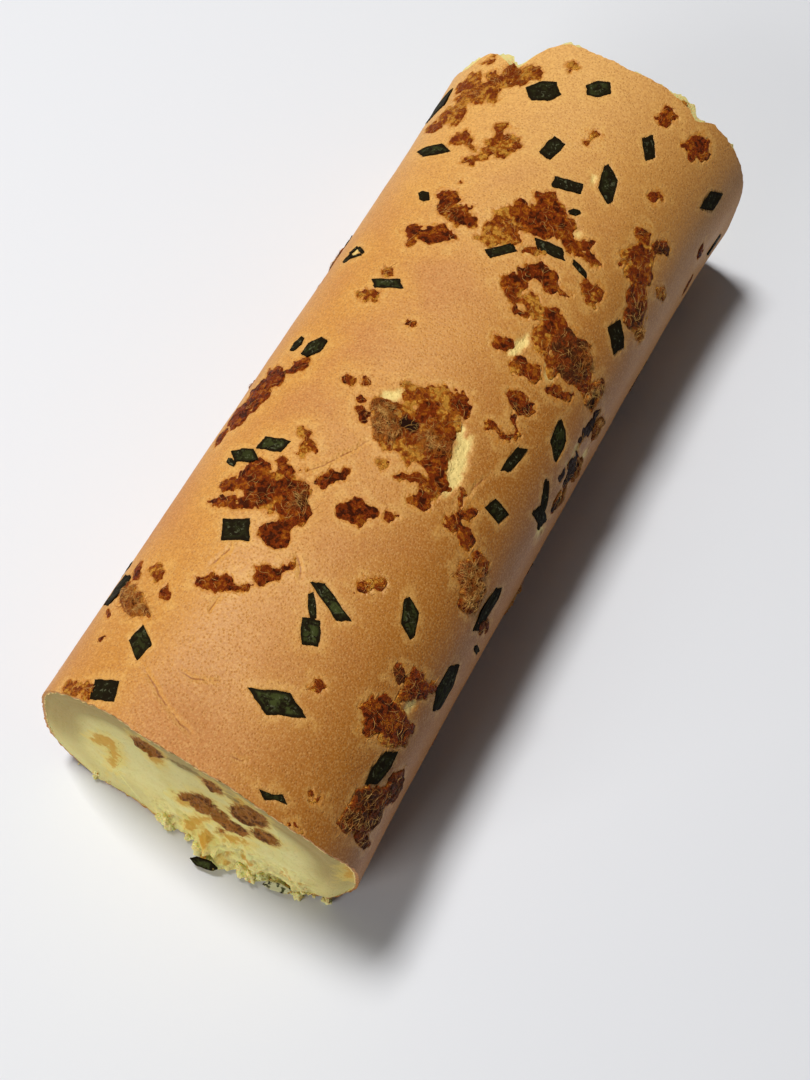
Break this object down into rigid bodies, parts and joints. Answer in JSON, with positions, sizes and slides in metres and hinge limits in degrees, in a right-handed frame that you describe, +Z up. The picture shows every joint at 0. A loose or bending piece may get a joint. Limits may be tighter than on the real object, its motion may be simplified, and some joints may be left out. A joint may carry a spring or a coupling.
{
  "type": "swiss roll cake",
  "caption": "Savoury swiss roll: rolled sponge sheet with a spiral floss filling, one end cut and one torn, golden skin with baked-on floss and herb flakes.",
  "frame": {"origin": "middle of the roll's footprint, on the plane that it rests on", "axes": "+Y along the roll from the cut end to the torn end, +X across it, +Z up"},
  "size_m": [0.1061, 0.263, 0.0755],
  "materials": {
    "golden_skin": "baked sponge skin, matt with a slight sheen",
    "crumb": "open pale sponge, dull",
    "floss": "dry fibrous meat floss, dull",
    "herb": "dried green onion flakes, dull"
  },
  "bodies": {
    "root": {"sponge_sheet": "golden_skin", "floss_filling": "floss"}
  },
  "joints": []
}
